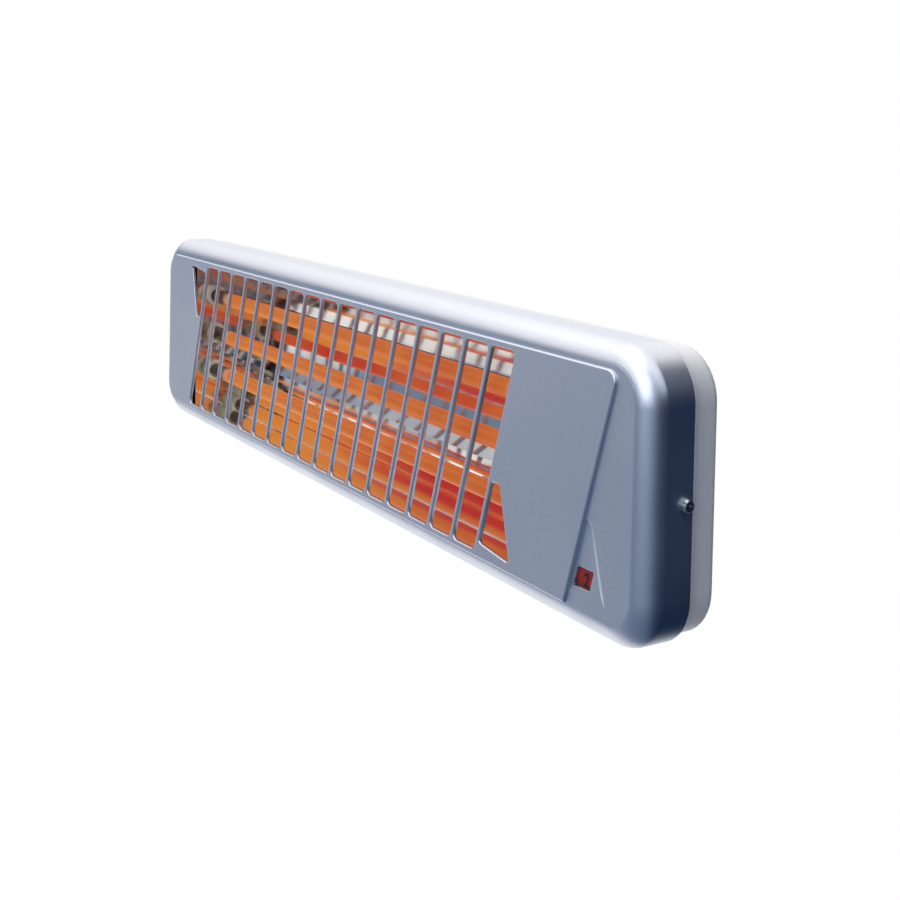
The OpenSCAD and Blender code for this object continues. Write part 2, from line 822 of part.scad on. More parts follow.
// Leads

switch_top_z = window_z + switch_h / 2;
switch_x = arm_x1 + arm_t;
switch_edge = 4;
pin_end_x = plate_right_x + pin_out;
lead_out = 5;

module lead_top() {
  x = switch_x + switch_w - switch_edge;
  bend_z = 4;
  color("firebrick") wire([
    [pin_end_x, tube_y, tube_pitch], [pin_end_x + lead_out, tube_y, tube_pitch],
    [x, tube_y, bend_z], [x, tube_y, switch_top_z]], wire_r);
}

module lead_middle() {
  x = switch_x + switch_w / 2;
  bend_z = -12;
  color("black") wire([
    [pin_end_x, tube_y, 0], [pin_end_x + lead_out, tube_y, 0],
    [x, tube_y, bend_z], [x, tube_y, switch_top_z]], wire_r);
}

module lead_bottom() {
  x = switch_x + switch_edge;
  bend_z = -20;
  color("dimgray") wire([
    [pin_end_x, tube_y, -tube_pitch], [pin_end_x + lead_out, tube_y, -tube_pitch],
    [pin_end_x + 2 * lead_out, tube_y, bend_z], [x, tube_y, bend_z], [x, tube_y, switch_top_z]], wire_r);
}

module live_lead() {
  x0 = block_x - pole_pitch;
  x1 = switch_x + 2 * switch_edge;
  y1 = tube_y + cap_r;
  drop = 9;
  bend_z = -8;
  color("saddlebrown") wire([
    [x0, block_wire_y, block_foot_z], [x0, block_wire_y - 2, block_foot_z - drop],
    [x1, y1, bend_z], [x1, y1, switch_top_z]], wire_r);
}

module neutral_lead() {
  x0 = bus_x + bus_t / 2;
  x1 = plate_right_x + plate_t + foot_w + 4;
  bend_z = block_foot_z - 5;
  color("royalblue") wire([
    [x0, tube_y + bus_w / 2, 0], [x0, wire_y, 0], [x1, wire_y, 0], [x1, wire_y, bend_z],
    [block_x, block_wire_y, bend_z], [block_x, block_wire_y, block_foot_z]], wire_r);
}

module earth_lead() {
  x0 = block_x + pole_pitch;
  y1 = back_in_y - earth_head_h / 2;
  flat_z = earth_z + earth_head_r * cos(30);
  color("limegreen") wire([
    [x0, block_wire_y, block_foot_z], [x0, block_wire_y, block_foot_z - 6],
    [earth_x, y1, flat_z + 4], [earth_x, y1, flat_z]], wire_r);
}

// Switch, number drum and pull lever

module spindle_axis(x) {
  rightward(x) translate([drum_y, window_z, 0]) children();
}

module switch_bracket() {
  h0 = window_z - switch_h / 2;
  narrow = 7;
  wide = 9;
  color("silver") difference() {
    union() {
      translate([arm_x0, back_in_y - arm_t, h0]) cube([arm_x1 + arm_t - arm_x0, arm_t, switch_h]);
      translate([arm_x0, drum_y - narrow, window_z - narrow])
        cube([arm_t, back_in_y - drum_y + narrow, 2 * narrow]);
      translate([arm_x1, drum_y - wide, h0]) cube([arm_t, back_in_y - drum_y + wide, switch_h]);
    }
    spindle_axis(arm_x0 - over) cylinder(r = spindle_r + turn_gap, h = arm_t + 2 * over);
    spindle_axis(arm_x1 - over) cylinder(r = spindle_r + turn_gap, h = arm_t + 2 * over);
    for (x = bracket_screw_x) translate([x, back_in_y + over, bracket_screw_z]) rotate([90, 0, 0])
      cylinder(r = rear_screw_r, h = arm_t + 2 * over);
  }
}

module switch_body() {
  color("ivory") difference() {
    translate([switch_x, drum_y + 2 - switch_d / 2, window_z - switch_h / 2])
      cube([switch_w, switch_d, switch_h]);
    spindle_axis(switch_x - over) cylinder(r = spindle_r + turn_gap, h = spindle_in + over);
  }
}

module switch_spindle() {
  x0 = arm_x0 - spindle_out;
  color("silver") spindle_axis(x0) cylinder(r = spindle_r, h = switch_x + spindle_in - 1 - x0);
}

module indicator_drum() {
  color("crimson") spindle_axis(window_x - drum_w / 2) difference() {
    cylinder(r = drum_r, h = drum_w);
    translate([0, 0, -over]) cylinder(r = spindle_r, h = drum_w + 2 * over);
    translate([0, 0, drum_web]) difference() {
      cylinder(r = drum_r - drum_wall, h = drum_w);
      cylinder(r = spindle_r + drum_wall, h = drum_w);
    }
  }
}

module pull_lever() {
  color("white") spindle_axis(lever_x0) difference() {
    union() {
      cylinder(r = lever_hub_r, h = lever_w);
      translate([0, -lever_eye_r, 0]) cube([lever_reach, 2 * lever_eye_r, lever_w]);
      translate([lever_reach, 0, 0]) cylinder(r = lever_eye_r, h = lever_w);
    }
    translate([0, 0, -over]) cylinder(r = spindle_r + turn_gap, h = lever_w + 2 * over);
    translate([lever_reach, lever_eye_r + over, lever_w / 2]) rotate([90, 0, 0])
      cylinder(r = eye_hole_r, h = 2 * lever_eye_r + 2 * over);
  }
}

module return_spring() {
  color("gray") spindle_axis(spring_x0) difference() {
    cylinder(r = spindle_r + seat_gap + spring_wall, h = spring_w);
    translate([0, 0, -over]) cylinder(r = spindle_r + seat_gap, h = spring_w + 2 * over);
  }
}

module cord_bush() {
  z = -side_z + cover_wall + lap_gap;
  color("white") translate([cord_x, eye_y, z]) difference() {
    union() {
      translate([0, 0, -bush_lip]) cylinder(r = bush_neck_r + 1.4, h = bush_lip);
      cylinder(r = bush_neck_r, h = housing_wall);
      translate([0, 0, housing_wall]) cylinder(r = bush_neck_r + 0.8, h = bush_lip);
    }
    translate([0, 0, -bush_lip - over])
      cylinder(r = pull_cord_r, h = housing_wall + 2 * bush_lip + 2 * over);
  }
}

// Mains connection

module terminal_block() {
  color("ivory") difference() {
    translate([block_x - block_w / 2, back_in_y - block_d, block_z - block_h / 2])
      cube([block_w, block_d, block_h]);
    for (i = [-1:1], s = [-1, 1])
      translate([block_x + i * pole_pitch, back_in_y - block_d - over, block_z + s * pole_rise])
        rotate([-90, 0, 0]) cylinder(r = pole_screw_r + screw_gap, h = well_d + over);
    translate([block_x, back_in_y + over, block_z]) rotate([90, 0, 0])
      cylinder(r = rear_screw_r, h = rear_screw_in + 2 * over);
  }
}

module terminal_screws() {
  color("goldenrod") for (i = [-1:1], s = [-1, 1])
    translate([block_x + i * pole_pitch, back_in_y - block_d + well_d, block_z + s * pole_rise])
      rotate([90, 0, 0]) difference() {
        cylinder(r = pole_screw_r, h = 2);
        translate([-pole_screw_r - over, -0.35, 1.2]) cube([2 * pole_screw_r + 2 * over, 0.7, 2]);
      }
}

module earth_screw() {
  color("goldenrod") translate([earth_x, back_in_y, earth_z]) rotate([90, 0, 0]) {
    translate([0, 0, -housing_wall]) cylinder(r = earth_r, h = housing_wall);
    cylinder(r = earth_head_r, h = earth_head_h, $fn = 6);
  }
}

module cable_grommet() {
  color("dimgray") translate([inlet_x, back_y, inlet_z]) rotate([90, 0, 0]) difference() {
    union() {
      translate([0, 0, -grommet_lip])
        cylinder(r1 = grommet_neck_r + 0.6, r2 = grommet_neck_r + 2.2, h = grommet_lip);
      cylinder(r = grommet_neck_r, h = housing_wall);
      translate([0, 0, housing_wall]) cylinder(r = grommet_neck_r + 1.4, h = grommet_rim);
    }
    translate([0, 0, -grommet_lip - over])
      cylinder(r = cable_r, h = grommet_lip + housing_wall + grommet_rim + 2 * over);
  }
}

module cable_clamp() {
  color("ivory") translate([inlet_x, back_in_y, clamp_z]) rotate([90, 0, 0]) difference() {
    translate([-clamp_w / 2, -clamp_h / 2, 0]) cube([clamp_w, clamp_h, clamp_d]);
    translate([0, -clamp_h / 2 - over, 0]) rotate([-90, 0, 0]) cylinder(r = cable_r, h = clamp_h + 2 * over);
    for (s = [-1, 1]) translate([s * clamp_screw_x, 0, -over])
      cylinder(r = rear_screw_r, h = clamp_d + 2 * over);
  }
}

module clamp_screws() {
  color("silver") for (s = [-1, 1])
    translate([inlet_x + s * clamp_screw_x, back_in_y - clamp_d, clamp_z]) rotate([90, 0, 0])
      pan_screw(rear_screw_r, clamp_d + housing_wall, rear_head_r - 0.4, rear_head_h);
}

wall_bracket();
pivot_bolts();
pivot_nuts();
friction_washers();
ear_left();
ear_right();
ear_rivets();
front_cover();
window_lens();
rear_housing();
cover_screws();
clip_nuts();
rear_screws();
reflector();
end_plate_left();
end_plate_right();
quartz_tube_top();
quartz_tube_middle();
quartz_tube_bottom();
heating_coil_top();
heating_coil_middle();
heating_coil_bottom();
ceramic_caps_left();
ceramic_caps_right();
tube_pins_left();
tube_pins_right();
bus_bar();
lead_top();
lead_middle();
lead_bottom();
live_lead();
neutral_lead();
earth_lead();
switch_bracket();
switch_body();
switch_spindle();
indicator_drum();
pull_lever();
return_spring();
cord_bush();
terminal_block();
terminal_screws();
earth_screw();
cable_grommet();
cable_clamp();
clamp_screws();
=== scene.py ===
import bmesh
import bpy
import json
import math
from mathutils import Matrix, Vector


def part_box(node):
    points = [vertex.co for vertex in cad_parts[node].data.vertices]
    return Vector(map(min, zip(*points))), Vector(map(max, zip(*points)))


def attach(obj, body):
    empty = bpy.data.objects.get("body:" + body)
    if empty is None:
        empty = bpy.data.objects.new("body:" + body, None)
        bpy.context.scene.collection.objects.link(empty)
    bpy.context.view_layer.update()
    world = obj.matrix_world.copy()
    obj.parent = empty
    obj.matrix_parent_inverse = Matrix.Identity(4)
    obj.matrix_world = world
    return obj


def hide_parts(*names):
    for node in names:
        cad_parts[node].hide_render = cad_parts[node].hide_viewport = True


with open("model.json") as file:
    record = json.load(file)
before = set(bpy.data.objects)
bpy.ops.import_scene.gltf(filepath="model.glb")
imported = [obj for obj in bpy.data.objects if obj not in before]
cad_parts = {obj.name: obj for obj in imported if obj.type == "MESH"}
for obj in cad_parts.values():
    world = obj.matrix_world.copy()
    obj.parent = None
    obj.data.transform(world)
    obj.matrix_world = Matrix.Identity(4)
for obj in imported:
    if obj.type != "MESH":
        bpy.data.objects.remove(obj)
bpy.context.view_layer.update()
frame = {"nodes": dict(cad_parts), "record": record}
mm = 0.001


# camera, light and floor

camera = dict(
    place=(0.7374, -0.4608, 0.1653),
    turn=(87.90, -1.19, 58.62),  # degrees
    lens=54.29,
    sensor=36,
    shift=(0.0119, -0.3104),
    nearest=0.01,
    farthest=60,
)


def makeCamera():
    data = bpy.data.cameras.new("camera")
    data.lens = camera["lens"]
    data.sensor_width = camera["sensor"]
    data.shift_x, data.shift_y = camera["shift"]
    data.clip_start = camera["nearest"]
    data.clip_end = camera["farthest"]
    eye = bpy.data.objects.new("camera", data)
    eye.location = camera["place"]
    eye.rotation_euler = [math.radians(angle) for angle in camera["turn"]]
    bpy.context.scene.collection.objects.link(eye)
    bpy.context.scene.camera = eye


studio = dict(
    white=(1.0, 1.0, 1.0),  # also what the camera sees behind the heater
    above=(1.46, 1.34, 1.22),
    below=(1.35, 1.28, 1.20),
    front=(0.162, 0.21, 0.29),
    strip=(0.90, 0.89, 0.85),
    dark=(0.008, 0.020, 0.052),
)

# What the heater reflects besides the front colour. Each zone lies over those before it, and
# a ray enters it as it turns towards each of its directions, from one cosine to another.
zones = [
    dict(colour="white", fades=[((-0.75, 0.60, -0.25), 0.50, 0.95)]),  # behind the left end
    dict(colour="below", fades=[((-0.80, 0.10, -0.60), 0.77, 0.96)]),  # low on the left
    dict(colour="strip", fades=[  # long and narrow, in front, which the reflector shows
        ((0, 0, 1), -0.19, -0.155), ((0, 0, -1), 0.065, 0.10), ((-0.78, -0.60, -0.14), 0.90, 0.965)]),
    dict(colour="dark", fades=[((0.75, 0.62, -0.22), 0.05, 0.72)]),  # behind the right end
    dict(colour="above", fades=[((-0.65, 0, 1), 0.30, 0.60), ((0, 0, 1), 0.16, 0.40)]),  # more on the left
    dict(colour="dark", fades=[((0.75, 0.62, -0.10), 0.20, 0.60)]),  # and over the light above
]


def makeWorld():
    world = bpy.data.worlds.new("studio")
    bpy.context.scene.world = world
    world.use_nodes = True
    nodes, links = world.node_tree.nodes, world.node_tree.links
    nodes.clear()
    out = nodes.new("ShaderNodeOutputWorld")
    seen = nodes.new("ShaderNodeBackground")
    seen.inputs["Color"].default_value = (*studio["white"], 1)
    lit = nodes.new("ShaderNodeBackground")
    ray = nodes.new("ShaderNodeTexCoord")

    def towards(direction, low, high):
        dot = nodes.new("ShaderNodeVectorMath")
        dot.operation = "DOT_PRODUCT"
        dot.inputs[1].default_value = Vector(direction).normalized()
        links.new(ray.outputs["Generated"], dot.inputs[0])
        ramp = nodes.new("ShaderNodeMapRange")
        ramp.interpolation_type = "SMOOTHSTEP"
        ramp.inputs["From Min"].default_value = low
        ramp.inputs["From Max"].default_value = high
        links.new(dot.outputs["Value"], ramp.inputs["Value"])
        return ramp.outputs["Result"]

    sky = studio["front"]
    for zone in zones:
        amount = towards(*zone["fades"][0])
        for fade in zone["fades"][1:]:
            amount = times(nodes, links, amount, towards(*fade))
        sky = mixColours(nodes, links, amount, sky, studio[zone["colour"]])
    links.new(sky, lit.inputs["Color"])
    path = nodes.new("ShaderNodeLightPath")
    both = nodes.new("ShaderNodeMixShader")
    links.new(path.outputs["Is Camera Ray"], both.inputs["Fac"])
    links.new(lit.outputs["Background"], both.inputs[1])
    links.new(seen.outputs["Background"], both.inputs[2])
    links.new(both.outputs["Shader"], out.inputs["Surface"])


lamps = [
    dict(name="topLamp", place=(-0.3, -0.5, 1.3), aim=(0, -0.06, 0), size=(1.6, 0.9), power=3.5),
    dict(name="sideLamp", place=(1.3, 0.0, 1.0), aim=(0.29, -0.03, 0), size=(1.1, 1.1), power=3.5),
    dict(name="endLamp", place=(0.62, -1.12, 0.5), aim=(-0.2, -0.06, 0), size=(0.9, 0.9), power=6),
]


def makeLamps():
    for lamp in lamps:
        data = bpy.data.lights.new(lamp["name"], "AREA")
        data.shape = "RECTANGLE"
        data.size, data.size_y = lamp["size"]
        data.energy = lamp["power"]
        obj = bpy.data.objects.new(lamp["name"], data)
        obj.location = lamp["place"]
        line = Vector(lamp["aim"]) - Vector(lamp["place"])
        obj.rotation_euler = line.to_track_quat("-Z", "Y").to_euler()
        bpy.context.scene.collection.objects.link(obj)


stageFloor = dict(
    place=(0, -0.1, -0.9),  # so low that the paint doesn't show it
    radius=0.9,
    sides=96,
    colour=(0.95, 0.95, 0.96),
    roughness=0.9,
)


def makeFloor():
    deselectAll()
    bpy.ops.mesh.primitive_circle_add(
        vertices=stageFloor["sides"], radius=stageFloor["radius"], fill_type="NGON",
        location=stageFloor["place"])
    floor = bpy.context.object
    floor.name = "floor"
    finish, nodes, links, skin = newFinish("paleFloor")
    skin.inputs["Base Color"].default_value = (*stageFloor["colour"], 1)
    skin.inputs["Roughness"].default_value = stageFloor["roughness"]
    dress(floor, finish)
    floor.visible_glossy = False


# modelling by operators

touch = 0.01 * mm  # what is closer than this is at the same place


def near(first, second):
    return abs(first - second) < touch


def inMetres(values):
    return {key: value * mm for key, value in values.items()}


def deselectAll():
    if bpy.context.object and bpy.context.object.mode != "OBJECT":
        bpy.ops.object.mode_set(mode="OBJECT")
    bpy.ops.object.select_all(action="DESELECT")


def activate(piece):
    deselectAll()
    piece.select_set(True)
    bpy.context.view_layer.objects.active = piece


def openMesh(piece, kind, action="DESELECT"):
    activate(piece)
    bpy.ops.object.mode_set(mode="EDIT")
    bpy.ops.mesh.select_mode(type=kind)
    bpy.ops.mesh.select_all(action=action)


def closeMesh():
    bpy.ops.object.mode_set(mode="OBJECT")


def pick(piece, kind, test):
    # selects what passes the test, in edit mode
    mesh = bmesh.from_edit_mesh(piece.data)
    bpy.ops.mesh.select_all(action="DESELECT")
    items = {"VERT": mesh.verts, "EDGE": mesh.edges, "FACE": mesh.faces}[kind]
    count = 0
    for item in items:
        if test(item):
            item.select_set(True)
            count += 1
    mesh.select_flush_mode()
    bmesh.update_edit_mesh(piece.data)
    return count


def applyPlace(piece):
    activate(piece)
    bpy.ops.object.transform_apply(location=True, rotation=True, scale=True)


def addModifier(piece, kind, **values):
    modifier = piece.modifiers.new(kind.lower(), kind)
    for key, value in values.items():
        setattr(modifier, key, value)
    activate(piece)
    bpy.ops.object.modifier_apply(modifier=modifier.name)


def combine(piece, tool, operation):
    addModifier(piece, "BOOLEAN", operation=operation, solver="MANIFOLD", object=tool)
    bpy.data.objects.remove(tool)


def block(name, low, high):
    low, high = Vector(low), Vector(high)
    bpy.ops.mesh.primitive_cube_add(size=1, location=(low + high) / 2)
    piece = bpy.context.object
    piece.name = piece.data.name = name
    piece.scale = high - low
    applyPlace(piece)
    return piece


def rodAlongX(place, radius, length, sides):
    deselectAll()
    bpy.ops.mesh.primitive_cylinder_add(
        vertices=sides, radius=radius, depth=length, location=place, rotation=(0, math.radians(90), 0))
    return bpy.context.object


def prism(name, corners, radii, y, depth, steps=6):
    # four-cornered plate in the x-z plane at y, with rounded corners, drawn back by depth
    deselectAll()
    bpy.ops.mesh.primitive_plane_add(size=2, location=(0, y, 0), rotation=(math.radians(90), 0, 0))
    piece = bpy.context.object
    piece.name = piece.data.name = name
    applyPlace(piece)
    start = [(-1, -1), (1, -1), (1, 1), (-1, 1)]
    openMesh(piece, "VERT")
    for (x0, z0), (x, z) in zip(start, corners):
        pick(piece, "VERT", lambda v: near(v.co.x, x0) and near(v.co.z, z0))
        bpy.ops.transform.translate(value=(x - x0, 0, z - z0))
    for index, (x, z) in enumerate(corners):
        before = Vector(corners[index - 1]) - Vector((x, z))
        after = Vector(corners[(index + 1) % 4]) - Vector((x, z))
        tangent = radii[index] / math.tan(before.angle(after) / 2)
        pick(piece, "VERT", lambda v: near(v.co.x, x) and near(v.co.z, z))
        bpy.ops.mesh.bevel(offset=tangent, segments=steps, affect="VERTICES", clamp_overlap=False)
    bpy.ops.mesh.select_all(action="SELECT")
    bpy.ops.mesh.extrude_region_move(TRANSFORM_OT_translate=dict(value=(0, depth, 0)))
    bpy.ops.mesh.select_all(action="SELECT")
    bpy.ops.mesh.normals_make_consistent(inside=False)
    closeMesh()
    return piece


def smooth(piece, angle):
    activate(piece)
    bpy.ops.object.shade_smooth_by_angle(angle=math.radians(angle))
    addModifier(piece, "WEIGHTED_NORMAL", keep_sharp=True, weight=100)


# front cover

cover = dict(
    cornerR=26,
    cornerSteps=20,
    edgeR=11,
    edgeSteps=12,
    edgeShape=0.44,  # 0.5 is round
    wall=2,
    panelRaise=1.5,
    panelMargin=11.5,
    panelEndGap=38.5,
    panelHeadR=6,  # of the panel's right end
    panelFootR=1,
    panelSteps=12,
    panelDepth=6,
    slotPitch=23.7,
    slotCount=17,
    barW=3.2,
    slant=17.5,  # degrees
    slotEndGap=15,
    slotCornerR=3,
    grilleX=-21.5,  # the middle of the slots
    gussetH=37,  # the three-cornered openings
    gussetTipW=7,
    gussetBaseW=28,
    gussetFoot=1.6,
    gussetLift=3.1,
    gussetR=1.8,
    windowW=11.7,
    windowH=9.4,
    windowR=0.6,
    windowSteps=3,
    windowEndGap=44.1,
    windowRise=26.3,
    recessD=0.55,
    recessHead=28,  # from the window's centre
    recessTipW=5,
    recessSlant=16,  # degrees
    recessFoot=17,
    recessRamp=4.5,
    recessSlope=2.0,
    recessTuck=4,  # the left side lies behind the panel's end
    recessTuckR=0.3,
    recessFootR=1,
    recessTipR=2.5,
    screwR=2.1,
    screwSides=32,
    cutFront=2,  # the cutting tools stand this far in front of the panel
    cutDepth=8,
    skin=0.02,  # the recess's tool starts this far in front of the face
    rimR=0.85,  # softens the slots' edges
    rimSteps=4,
    crestR=1.1,  # softens the panel's edge
    crestSteps=5,
    frameR=0.4,  # softens the window's edge
    frameSteps=3,
    slack=0.2,  # for finding edges by their place
    sharpAngle=60,  # degrees
    foldAngle=6,  # degrees
    smoothAngle=32,  # degrees
)

coverSize = inMetres(cover)
coverLow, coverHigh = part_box("front_cover")
lean = math.tan(math.radians(cover["slant"]))
slotZ = coverHigh.z - coverSize["slotEndGap"]
slotW = coverSize["slotPitch"] - coverSize["barW"]
slotSpan = (cover["slotCount"] - 1) * coverSize["slotPitch"]
gussetX = (slotSpan + slotW) / 2 + coverSize["barW"]  # from the grille's centre
windowX = coverHigh.x - coverSize["windowEndGap"]
windowZ = coverLow.z + coverSize["windowRise"]
windowHalfW = coverSize["windowW"] / 2
windowHalfH = coverSize["windowH"] / 2


def leaning(x, z):
    # a point on the slanted line that crosses z = 0 at x
    return x + z * lean, z


def makeRecess(faceY, endX, grow):
    # the recess runs out at its foot, and its right side and head are soft slopes
    size = coverSize
    head = windowZ + size["recessHead"] + grow
    foot = coverLow.z + size["recessFoot"]
    tipX = endX + head * lean + size["recessTipW"] + grow
    footX = tipX + (head - foot) * math.tan(math.radians(cover["recessSlant"]))
    tuckX = endX - size["recessTuck"]
    recess = prism(
        "recess", [leaning(tuckX, foot), (footX, foot), (tipX, head), leaning(tuckX, head)],
        [size["recessTuckR"], size["recessFootR"], size["recessTipR"], size["recessTuckR"]],
        faceY - size["skin"], size["recessD"] + size["skin"])
    openMesh(recess, "VERT")
    pick(recess, "VERT", lambda v: v.co.y > faceY and v.co.x > endX + v.co.z * lean)
    bpy.ops.transform.translate(value=(-size["recessSlope"], 0, -size["recessSlope"]))
    bpy.ops.mesh.select_all(action="SELECT")
    rise = size["recessD"] / size["recessRamp"]
    bpy.ops.mesh.bisect(
        plane_co=(0, faceY, foot), plane_no=(0, 1, -rise), use_fill=True, clear_outer=True)
    closeMesh()
    return recess


def makePanel(endX, inset):
    size = coverSize
    startX = coverLow.x + size["panelMargin"] + inset
    halfH = coverHigh.z - size["panelMargin"] - inset
    innerR = size["cornerR"] - size["panelMargin"] - inset
    return prism(
        "panel", [(startX, -halfH), leaning(endX, -halfH), leaning(endX, halfH), (startX, halfH)],
        [innerR, size["panelFootR"], size["panelHeadR"] - inset, innerR],
        coverLow.y + inset, size["panelDepth"], cover["panelSteps"])


def makeCoverBody(name, inset=0):
    # the cover's outer form, or with an inset the hollow behind its sheet
    size = coverSize
    faceY = coverLow.y + size["panelRaise"] + inset
    backY = coverHigh.y + (size["cutFront"] if inset else 0)
    body = block(
        name, (coverLow.x + inset, faceY, coverLow.z + inset),
        (coverHigh.x - inset, backY, coverHigh.z - inset))
    openMesh(body, "EDGE")
    pick(body, "EDGE", lambda e: not near(e.verts[0].co.y, e.verts[1].co.y))
    bpy.ops.mesh.bevel(offset=size["cornerR"] - inset, segments=cover["cornerSteps"], affect="EDGES")
    pick(body, "EDGE", lambda e: all(near(v.co.y, faceY) for v in e.verts))
    bpy.ops.mesh.bevel(
        offset=size["edgeR"] - inset, segments=cover["edgeSteps"], profile=cover["edgeShape"],
        affect="EDGES")
    closeMesh()
    endX = coverHigh.x - size["panelEndGap"] - inset / math.cos(math.radians(cover["slant"]))
    combine(body, makeRecess(faceY, endX, inset), "DIFFERENCE")
    combine(body, makePanel(endX, inset), "UNION")
    return body


def splitPanel(shell, x):
    # a slanted seam across the panel's two faces, so that no face has a hole in it
    depths = (coverLow.y, coverLow.y + coverSize["wall"])
    openMesh(shell, "FACE")
    pick(shell, "FACE", lambda f: any(all(near(v.co.y, y) for v in f.verts) for y in depths))
    bpy.ops.mesh.bisect(plane_co=(x, coverLow.y, 0), plane_no=(1, 0, -lean))
    closeMesh()


def cut(shell, name, corners, radius, steps=6, count=1):
    # cuts an opening, or a row of them at the slots' pitch
    size = coverSize
    tool = prism(name, corners, [radius] * 4, coverLow.y - size["cutFront"], size["cutDepth"], steps)
    if count > 1:
        addModifier(
            tool, "ARRAY", count=count, use_relative_offset=False, use_constant_offset=True,
            constant_offset_displace=(size["slotPitch"], 0, 0))
    combine(shell, tool, "DIFFERENCE")


def slantedSides(x, z, halfW, halfH):
    # the corners of an opening whose sides lean as the bars do
    return [
        (x - halfW - halfH * lean, z - halfH), (x + halfW - halfH * lean, z - halfH),
        (x + halfW + halfH * lean, z + halfH), (x - halfW + halfH * lean, z + halfH)]


def cutSlots(shell):
    size = coverSize
    for index in range(cover["slotCount"] + 2):
        splitPanel(shell, size["grilleX"] - slotSpan / 2 + (index - 1) * size["slotPitch"])
    slot = slantedSides(size["grilleX"] - slotSpan / 2, 0, slotW / 2, slotZ)
    cut(shell, "slots", slot, size["slotCornerR"], count=cover["slotCount"])


def cutGussets(shell):
    # one three-cornered opening at each end of the slots, the second turned by half a turn
    size = coverSize
    footZ = size["gussetFoot"] - slotZ
    headZ = footZ + size["gussetH"]
    corners = [
        leaning(gussetX, footZ + size["gussetLift"]), leaning(gussetX + size["gussetBaseW"], footZ),
        leaning(gussetX + size["gussetTipW"], headZ), leaning(gussetX, headZ)]
    for side in (1, -1):
        turned = [(size["grilleX"] + side * x, side * z) for x, z in corners]
        cut(shell, "gusset", turned, size["gussetR"])


def cutScrewHoles(shell):
    screwLow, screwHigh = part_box("cover_screws")
    place = (0, (screwLow.y + screwHigh.y) / 2, 0)
    length = 2 * (coverHigh.x + coverSize["cutFront"])
    combine(shell, rodAlongX(place, coverSize["screwR"], length, cover["screwSides"]), "DIFFERENCE")


def isSharp(edge, angle):
    return len(edge.link_faces) == 2 and edge.calc_face_angle(0) > math.radians(angle)


def softenEdges(shell):
    slack = coverSize["slack"]
    frontY = coverLow.y + coverSize["panelRaise"] + coverSize["recessD"] + slack
    filletR = coverSize["edgeR"] + slack

    def inGrille(co):
        halfW = gussetX + coverSize["gussetBaseW"]
        return abs(co.z) < slotZ + slack and abs(co.x - coverSize["grilleX"]) < halfW

    def byWindow(co, margin):
        halfW = windowHalfW + windowHalfH * lean
        return abs(co.x - windowX) < halfW + margin and abs(co.z - windowZ) < windowHalfH + margin

    def isRim(edge):
        return isSharp(edge, cover["sharpAngle"]) and all(
            near(v.co.y, coverLow.y) and inGrille(v.co) for v in edge.verts)

    def isCrest(edge):
        return isSharp(edge, cover["sharpAngle"]) and all(
            near(v.co.y, coverLow.y) and not inGrille(v.co) for v in edge.verts)

    def isFrame(edge):
        return isSharp(edge, cover["sharpAngle"]) and all(
            byWindow(v.co, slack) and v.co.y < frontY for v in edge.verts)

    def inRecess(co):
        inside = coverLow.z + filletR < co.z and windowX < co.x < coverHigh.x - filletR
        return inside and co.y < frontY and not byWindow(co, coverSize["frameR"] + slack)

    def isFold(edge):
        return isSharp(edge, cover["foldAngle"]) and all(inRecess(v.co) for v in edge.verts)

    openMesh(shell, "EDGE")
    rims = pick(shell, "EDGE", isRim)
    bpy.ops.mesh.bevel(offset=coverSize["rimR"], segments=cover["rimSteps"], affect="EDGES")
    crests = pick(shell, "EDGE", isCrest)
    bpy.ops.mesh.bevel(offset=coverSize["crestR"], segments=cover["crestSteps"], affect="EDGES")
    frames = pick(shell, "EDGE", isFrame)
    bpy.ops.mesh.bevel(offset=coverSize["frameR"], segments=cover["frameSteps"], affect="EDGES")
    # the folds around the recess stay sharp, and show as its thin light line
    folds = pick(shell, "EDGE", isFold)
    bpy.ops.mesh.mark_sharp()
    closeMesh()
    print("edges of the rims", rims, "crest", crests, "window", frames, "recess", folds)
    smooth(shell, cover["smoothAngle"])


def makeFrontCover():
    shell = makeCoverBody("frontCover")
    combine(shell, makeCoverBody("hollow", coverSize["wall"]), "DIFFERENCE")
    cutSlots(shell)
    cutGussets(shell)
    window = slantedSides(windowX, windowZ, windowHalfW, windowHalfH)
    cut(shell, "window", window, coverSize["windowR"], cover["windowSteps"])
    cutScrewHoles(shell)
    softenEdges(shell)
    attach(shell, "heater")
    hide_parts("front_cover")
    return shell


# heating coils

coil = dict(
    wireR=0.35,
    pitch=2.0,
    coldEnd=38,
    sides=6,
    steps=14,  # in each turn
    tailR=0.7,  # the straight cold ends
    tailSides=16,
)


